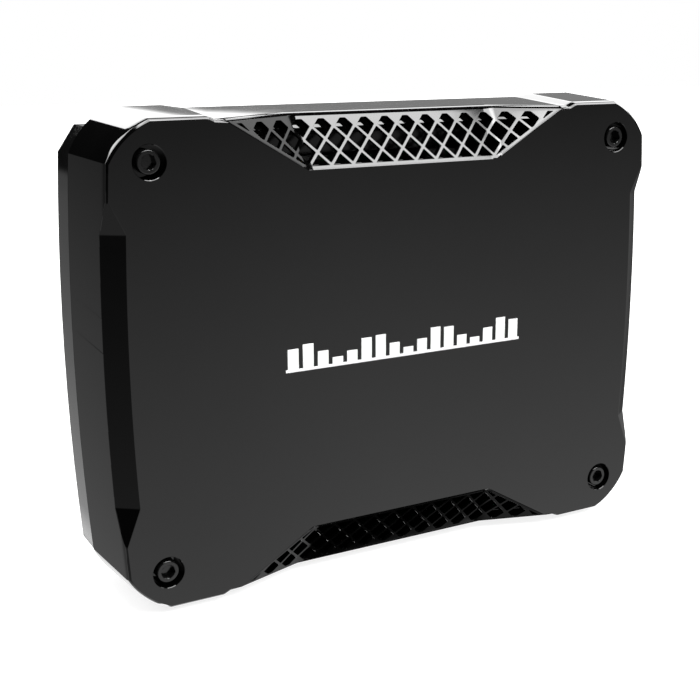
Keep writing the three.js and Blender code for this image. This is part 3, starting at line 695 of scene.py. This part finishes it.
def knob_shape(node):
    depth, z, back, tip = slot_place(node)
    radius, shaft, flutes = KNOB["radius"], KNOB["shaft"], KNOB["flutes"]
    skirt = back + KNOB["skirt"]
    rings = []

    def ring(x, r, wave):
        points = []
        for k in range(flutes * 6):
            a = 2 * math.pi * k / (flutes * 6)
            here = r - wave * (0.5 + 0.5 * math.cos(flutes * a)) ** 2
            points.append((x, y_at(depth) + here * math.cos(a), z + here * math.sin(a)))
        return points

    # place along the shaft, radius, depth of the flutes
    profile = [(back, shaft, 0), (skirt, shaft, 0), (skirt, radius - 0.25, 0.2),
               (skirt + 0.2, radius, 0.28), (tip - 0.5, radius, 0.28),
               (tip - 0.2, radius - 0.12, 0.18), (tip, radius - 0.45, 0)]
    for x, r, wave in profile:
        rings.append(ring(x, r, wave))
    body = loft(rings)
    half = KNOB["slot"]
    pointer = box((tip - KNOB["slot_depth"], tip + 1), (depth - radius - 1, depth), (z - half, z + half))
    return cut(body, pointer)


def rca_barrel(node):
    depth, z, back, tip = slot_place(node)
    outer, inner = RCA["outer"], RCA["outer"] - RCA["wall"]
    profile = [(back, outer), (tip - 3.1, outer), (tip - 3.0, outer - 0.12), (tip - 2.8, outer - 0.12),
               (tip - 2.7, outer), (tip - 0.35, outer), (tip - 0.1, outer - 0.12), (tip, outer - 0.35),
               (tip - 0.1, outer - 0.6), (tip - 0.3, inner), (tip - RCA["well"], inner)]
    return turned_x(profile, depth, z, 56)


def rca_insert(node):
    depth, z, _, tip = slot_place(node)
    outer, bore, face = RCA["insert"], RCA["bore"], tip - RCA["recess"]
    start = tip - RCA["well"] + 0.1
    profile = [(start, outer), (face - 0.15, outer), (face, outer - 0.12), (face, bore + 0.15),
               (face - 0.2, bore), (start + 0.5, bore)]
    return turned_x(profile, depth, z, 40)


def refined(node, width, segments=2, degrees=30, longer=0.35):
    return soften(copy_of(node), width, segments, degrees=degrees, longer=longer)


# ---- assembly -------------------------------------------------------------------------------
ROOT = "amplifier"


def build_casing():
    piece(front_cover(), "cover_shell", LOOKS["cover"], "cover_plastic", ROOT, "front_cover", degrees=14)
    piece(upper_grille(), "grille_upper", LOOKS["grille"], "grille_plastic", ROOT, "vent_grille_upper")
    piece(upside_down(upper_grille()), "grille_lower", LOOKS["grille"], "grille_plastic", ROOT,
          "vent_grille_lower")
    base = soften(copy_of("chassis_base"), 0.5, 3, degrees=20, longer=2,
                  where=lambda p: p.y > BASE_HIGH.y - 0.1)
    piece(base, "base_tray", LOOKS["base"], "chassis_metal", ROOT, "chassis_base")
    piece(emblem(), "emblem_print", LOOKS["print"], "emblem_print", ROOT, "emblem")
    for name, sx, sz in CORNERS:
        piece(cover_screw(sx, sz), f"socket_screw_{name}", LOOKS["screw"], "screw_steel", ROOT,
              f"cover_screw_{name}")


def build_panel():
    piece(refined("connector_panel", 0.25), "end_panel", LOOKS["panel"], "panel_plastic", ROOT,
          "connector_panel")
    piece(refined("rca_block", 0.4), "rca_housing", LOOKS["terminal"], "terminal_plastic", ROOT,
          "rca_block")
    for k in range(1, 5):
        node = f"rca_socket_{k}"
        piece(rca_barrel(node), f"rca_barrel_{k}", LOOKS["brass"], "plated_brass", ROOT, node)
        colour = "insulator_white" if k % 2 else "insulator_red"
        piece(rca_insert(node), f"rca_insert_{k}", LOOKS[colour], "plated_brass", ROOT)
    for name in ["front_gain", "rear_gain", "crossover", "bass_boost"]:
        piece(knob_shape(f"{name}_knob"), f"{name}_dial", LOOKS["terminal"], "knob_plastic",
              f"{name}_control", f"{name}_knob")
    for name in ["front_filter", "rear_filter"]:
        piece(refined(f"{name}_switch_slider", 0.15), f"{name}_tab", LOOKS["terminal"], "knob_plastic",
              f"{name}_slider", f"{name}_switch_slider")
    for name in ["speaker", "power"]:
        piece(refined(f"{name}_terminal_block", 0.18), f"{name}_terminals", LOOKS["terminal"],
              "terminal_plastic", ROOT, f"{name}_terminal_block")
    for kind, ways in [("speaker", 8), ("power", 3)]:
        for k in range(1, ways + 1):
            node = f"{kind}_terminal_screw_{k}"
            piece(refined(node, 0.12), f"{kind}_clamp_screw_{k}", LOOKS["zinc"], "terminal_steel", ROOT,
                  node)
    piece(refined("fuse_housing", 0.2), "fuse_body", LOOKS["fuse"], "fuse_plastic", "blade_fuse",
          "fuse_housing")
    piece(refined("fuse_holder", 0.2), "fuse_socket", LOOKS["terminal"], "terminal_plastic", ROOT,
          "fuse_holder")


def dress_hidden_parts():
    """CAD nodes that stay as they are get their materials by the words in their names."""
    looks = {
        "potentiometer": "zinc", "switch_body": "zinc", "control_board": "board", "main_board": "board",
        "toroid_core": "ferrite", "toroid_winding": "copper", "capacitor": "sleeve", "choke": "ferrite",
        "clamp_bar": "aluminium", "transistor": "package", "power_led": "led", "fuse_element": "zinc",
    }
    for name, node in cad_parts.items():
        if node.hide_render:
            continue
        for part, look in looks.items():
            if part in name:
                node.data.materials.clear()
                node.data.materials.append(LOOKS[look])


# ---- studio ---------------------------------------------------------------------------------
def build_camera():
    data = bpy.data.cameras.new("camera")
    data.lens = 60.59
    data.sensor_width = 36
    camera = bpy.data.objects.new("camera", data)
    bpy.context.scene.collection.objects.link(camera)
    right = Vector((0.87867, -0.47741, -0.00512))
    up = Vector((0.12550, 0.22062, 0.96725))
    back = -Vector((0.46065, 0.85053, -0.25376))
    turn = Matrix((right, up, back)).transposed().to_4x4()
    camera.matrix_world = Matrix.Translation((-0.19236, -0.35913, 0.09456)) @ turn
    bpy.context.scene.camera = camera


def build_floor():
    bpy.ops.mesh.primitive_grid_add(x_subdivisions=8, y_subdivisions=8, size=6, location=(0, 0, FLOOR_Z))
    floor = bpy.context.object
    floor.name = "floor"
    material, tree, shader = new_material("floor_white")
    shader.inputs["Base Color"].default_value = (0.3, 0.3, 0.3, 1)
    shader.inputs["Roughness"].default_value = 0.9
    shader.inputs["Specular IOR Level"].default_value = 0
    shader.inputs["Emission Color"].default_value = (1, 1, 1, 1)
    shader.inputs["Emission Strength"].default_value = 0.85
    floor.data.materials.append(material)
    floor.visible_glossy = False
    floor.visible_diffuse = False


class WorldMath:
    """Shorthand for building the studio's light by direction from the part."""

    def __init__(self, tree):
        self.tree = tree

    def wire(self, node, values):
        for socket, value in zip(node.inputs, values):
            if hasattr(value, "links"):
                self.tree.links.new(value, socket)
            else:
                socket.default_value = value
        return node

    def math(self, operation, *values):
        node = self.tree.nodes.new("ShaderNodeMath")
        node.operation = operation
        return self.wire(node, values).outputs[0]

    def ramp(self, value, start, end, low=0.0, high=1.0):
        node = self.tree.nodes.new("ShaderNodeMapRange")
        node.interpolation_type = "SMOOTHSTEP"
        return self.wire(node, [value, start, end, low, high]).outputs["Result"]

    def window(self, value, start, end, soft):
        rise = self.ramp(value, start - soft / 2, start + soft / 2)
        fall = self.ramp(value, end - soft / 2, end + soft / 2, 1.0, 0.0)
        return self.math("MULTIPLY", rise, fall)

    def panel(self, azimuth, elevation, across, upward, soft, strength):
        beside, high = self.window(azimuth, *across, soft), self.window(elevation, *upward, soft)
        return self.math("MULTIPLY", self.math("MULTIPLY", beside, high), strength)


# softboxes above the horizon: azimuths, elevations, softness of the edges, strength
# (degrees; azimuths run clockwise from the back)
SOFTBOXES = [
    ((-10, 14), (34, 43), 0.4, 5.0),
    ((132, 172), (33, 50), 2, 14.0),
    ((98, 115), (27, 40), 3, 2.4),
    ((75, 118), (46, 76), 4, 10.0),
    ((70, 93), (18, 44), 4, 8.0),
    ((-62, -26), (28, 56), 4, 8.0),
    ((-150, -70), (66, 88), 6, 6.0),
]
# the back strip's lower edge is level, and drops towards its left end
STRIP = dict(azimuths=(-5.5, 75), low=10.25, soft=0.15, high=34, bend=22, drop=0.12, bright=5.0,
             plain=3.0, change=14)
OVERHEAD = dict(azimuth=165, elevation=68, radius=21.5, soft=3, strength=10.0)
# the pale ground round the part, by sector: azimuths, softness, value at the horizon, and how
# it grows with the angle below the horizon: gain, power
GROUND = [
    ((-60, -18), 3, 0.06, 0.0174, 0.8),
    ((-18, 12), 3, 0.2, 0.0006, 2.2),
    ((12, 52), 6, 0.15, 0.02, 1.0),
    ((52, 66), 6, 0.1, 0.0, 1.0),
    ((66, 100), 6, 0.3, 0.003, 1.0),
    ((-98, -60), 6, 0.25, 0.02, 1.0),
    ((-200, -98), 6, 0.03, 0.0024, 1.38),
    ((160, 200), 6, 0.03, 0.0024, 1.38),
]
# the same for the ground ahead, which ends in these stretches of the direction's X and Y, and dims
# between two angles below the horizon
GROUND_AHEAD = (0.1, 0.06, 0.92)
AHEAD = dict(y=(-0.1, -0.5), x=(-0.4, 0.2), right=(0.3, 0.5, 0.82, 1.0), dims=(26, 50, 1.0, 0.35))
WALL = dict(azimuths=(-2, 60), elevations=(0, 11), strength=0.34)
ROOM = 0.008


def build_world():
    world = bpy.data.worlds.new("studio")
    bpy.context.scene.world = world
    world.use_nodes = True
    tree = world.node_tree
    tools = WorldMath(tree)
    place = tree.nodes.new("ShaderNodeTexCoord")
    split = tree.nodes.new("ShaderNodeSeparateXYZ")
    tree.links.new(place.outputs["Generated"], split.inputs[0])
    x, y, z = split.outputs
    degrees = 180 / math.pi
    azimuth = tools.math("MULTIPLY", tools.math("ARCTAN2", x, y), degrees)
    elevation = tools.math("MULTIPLY", tools.math("ARCSINE", z), degrees)
    ground = ground_light(tools, x, y, azimuth, elevation)
    room = room_light(tools, azimuth, elevation)
    is_below = tools.ramp(elevation, 1, -1)
    is_above = tools.math("SUBTRACT", 1.0, is_below)
    below, above = tools.math("MULTIPLY", ground, is_below), tools.math("MULTIPLY", room, is_above)
    light = tools.math("ADD", below, above)
    for across, upward, soft, strength in SOFTBOXES:
        light = tools.math("ADD", light, tools.panel(azimuth, elevation, across, upward, soft, strength))
    light = tools.math("ADD", light, back_strip(tools, azimuth, elevation))
    light = tools.math("ADD", light, overhead_disc(tools, x, y, z))
    studio = tree.nodes["Background"]
    tree.links.new(light, studio.inputs["Strength"])
    studio.inputs["Color"].default_value = (1, 1, 1, 1)
    backdrop = tree.nodes.new("ShaderNodeBackground")
    backdrop.inputs["Color"].default_value = (1, 1, 1, 1)
    paths = tree.nodes.new("ShaderNodeLightPath")
    mix = tree.nodes.new("ShaderNodeMixShader")
    tree.links.new(paths.outputs["Is Camera Ray"], mix.inputs[0])
    tree.links.new(studio.outputs[0], mix.inputs[1])
    tree.links.new(backdrop.outputs[0], mix.inputs[2])
    tree.links.new(mix.outputs[0], tree.nodes["World Output"].inputs["Surface"])


def fan(tools, depression, low, gain, power):
    grown = tools.math("MULTIPLY", tools.math("POWER", depression, power), gain)
    return tools.math("ADD", grown, low)


def ground_light(tools, x, y, azimuth, elevation):
    """Light from below the horizon: a pale floor that brightens downwards."""
    depression = tools.math("MAXIMUM", tools.math("MULTIPLY", elevation, -1.0), 0.0)
    ahead = tools.math("MULTIPLY", tools.ramp(y, *AHEAD["y"]), tools.ramp(x, *AHEAD["x"]))
    sides = tools.math("MULTIPLY", ahead, tools.ramp(x, *AHEAD["right"]))
    under = tools.ramp(depression, *AHEAD["dims"])
    near = tools.math("MULTIPLY", sides, under)
    light = tools.math("MULTIPLY", near, fan(tools, depression, *GROUND_AHEAD))
    not_ahead = tools.math("SUBTRACT", 1.0, ahead)
    for across, soft, low, gain, power in GROUND:
        here = tools.math("MULTIPLY", tools.window(azimuth, *across, soft), not_ahead)
        part = tools.math("MULTIPLY", here, fan(tools, depression, low, gain, power))
        light = tools.math("ADD", light, part)
    return light


def room_light(tools, azimuth, elevation):
    """Light from above the horizon: a dim room, with a grey wall low down at the back."""
    high = tools.window(elevation, *WALL["elevations"], 2)
    wall = tools.math("MULTIPLY", high, tools.window(azimuth, *WALL["azimuths"], 3))
    return tools.math("ADD", tools.math("MULTIPLY", wall, WALL["strength"]), ROOM)


def back_strip(tools, azimuth, elevation):
    fallen = tools.math("MAXIMUM", tools.math("SUBTRACT", STRIP["bend"], azimuth), 0.0)
    raised = tools.math("ADD", elevation, tools.math("MULTIPLY", fallen, STRIP["drop"]))
    low, soft, high, change = STRIP["low"], STRIP["soft"], STRIP["high"], STRIP["change"]
    above = tools.ramp(raised, low - soft, low + soft)
    inside = tools.math("MULTIPLY", above, tools.window(azimuth, *STRIP["azimuths"], 0.4))
    under = tools.ramp(elevation, high - 0.2, high + 0.2, 1, 0)
    inside = tools.math("MULTIPLY", inside, under)
    level = tools.ramp(azimuth, change - 1, change + 1, STRIP["bright"], STRIP["plain"])
    return tools.math("MULTIPLY", inside, level)


def overhead_disc(tools, x, y, z):
    turn, lift = math.radians(OVERHEAD["azimuth"]), math.radians(OVERHEAD["elevation"])
    aim = (math.sin(turn) * math.cos(lift), math.cos(turn) * math.cos(lift), math.sin(lift))
    parts = [tools.math("MULTIPLY", axis, share) for axis, share in zip((x, y, z), aim)]
    along = tools.math("ADD", tools.math("ADD", parts[0], parts[1]), parts[2])
    inner = math.cos(math.radians(OVERHEAD["radius"] - OVERHEAD["soft"] / 2))
    outer = math.cos(math.radians(OVERHEAD["radius"] + OVERHEAD["soft"] / 2))
    return tools.ramp(along, outer, inner, 0.0, OVERHEAD["strength"])


build_camera()
build_floor()
build_world()
bpy.context.scene.view_settings.view_transform = "Standard"
build_casing()
build_panel()
dress_hidden_parts()
